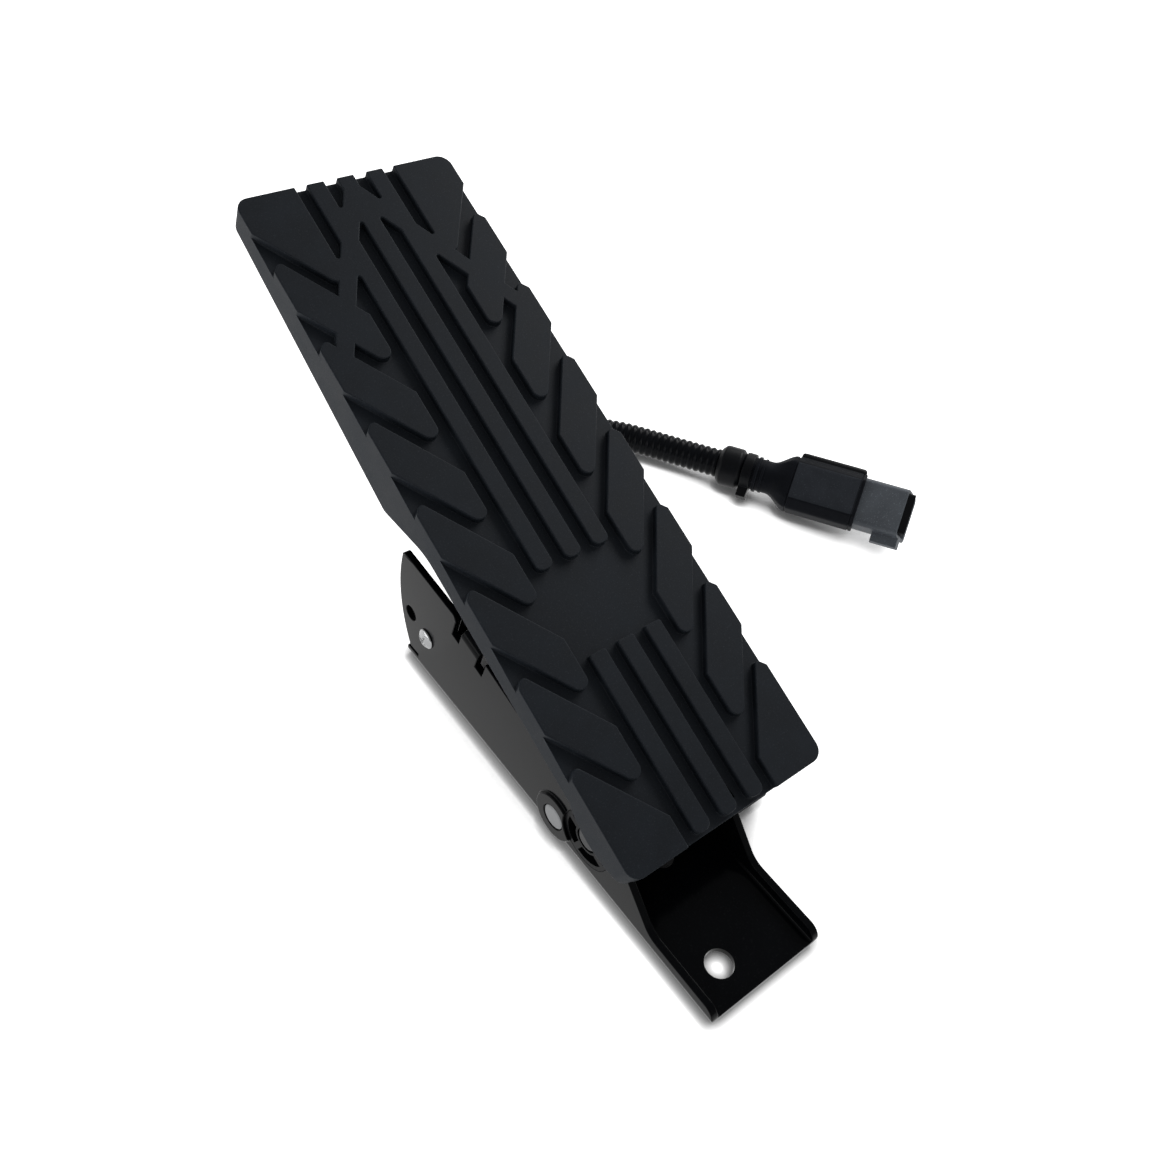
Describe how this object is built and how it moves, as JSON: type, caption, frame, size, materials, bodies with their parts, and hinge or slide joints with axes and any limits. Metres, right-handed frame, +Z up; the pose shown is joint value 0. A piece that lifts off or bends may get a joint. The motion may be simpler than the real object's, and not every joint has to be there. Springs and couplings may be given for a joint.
{
  "type": "floor accelerator pedal",
  "caption": "Floor-mounted electronic accelerator pedal: a long ribbed treadle hinged at its heel in a folded steel channel, with a side sensor and a corrugated lead to a plug.",
  "frame": {"origin": "axis of the heel bolt hole, on the underside of the channel floor", "axes": "+X to the driver's right, +Y from the heel towards the toe, +Z up from the cab floor"},
  "size_m": [0.2578, 0.3162, 0.1478],
  "materials": {
    "black_powder_coat": "satin",
    "tread_moulding": "fine grain, matt",
    "black_nylon": "matt",
    "bright_steel": "bright turned",
    "spring_steel": "oiled",
    "black_rubber": "matt",
    "zinc_screw": "bright zinc",
    "sensor_plastic": "satin",
    "board": "satin",
    "conduit": "satin",
    "connector_black": "satin",
    "connector_grey": "satin",
    "contact_metal": "bright",
    "magnet": "matt"
  },
  "bodies": {
    "bracket": {"base_bracket": "black_powder_coat", "hinge_bush_left": "black_nylon", "hinge_bush_right": "black_nylon", "anchor_pin": "bright_steel", "idle_stop": "black_rubber", "full_stop": "black_rubber", "spacer_tube": "bright_steel", "spacer_screws": "zinc_screw", "sensor_housing": "sensor_plastic", "sensor_cover": "sensor_plastic", "sensor_screws": "zinc_screw", "shaft_seal": "black_rubber", "circuit_board": "board", "cable_gland": "black_nylon", "lead": "conduit", "conduit_collar": "connector_black", "connector_boot": "connector_black", "tie_strap": "connector_black", "connector_nose": "connector_grey", "connector_wedge": "connector_grey", "connector_pins": "contact_metal", "return_spring_left": "spring_steel", "return_spring_right": "spring_steel"},
    "treadle": {"treadle": "tread_moulding", "hinge_pin": "bright_steel", "pin_clips": "spring_steel", "spring_sleeve": "black_nylon", "sensor_rotor": "black_nylon", "rotor_magnet": "magnet"}
  },
  "joints": [
    {"name": "treadle_hinge", "type": "hinge", "parent": "bracket", "child": "treadle", "pos_m": [0.027, 0.0586, 0.0181], "axis": [-1, 0, 0], "range_deg": [0, 11], "stiffness_Nm_per_rad": 15, "springref_deg": -17.19, "deforming": ["return_spring_left", "return_spring_right"]}
  ]
}
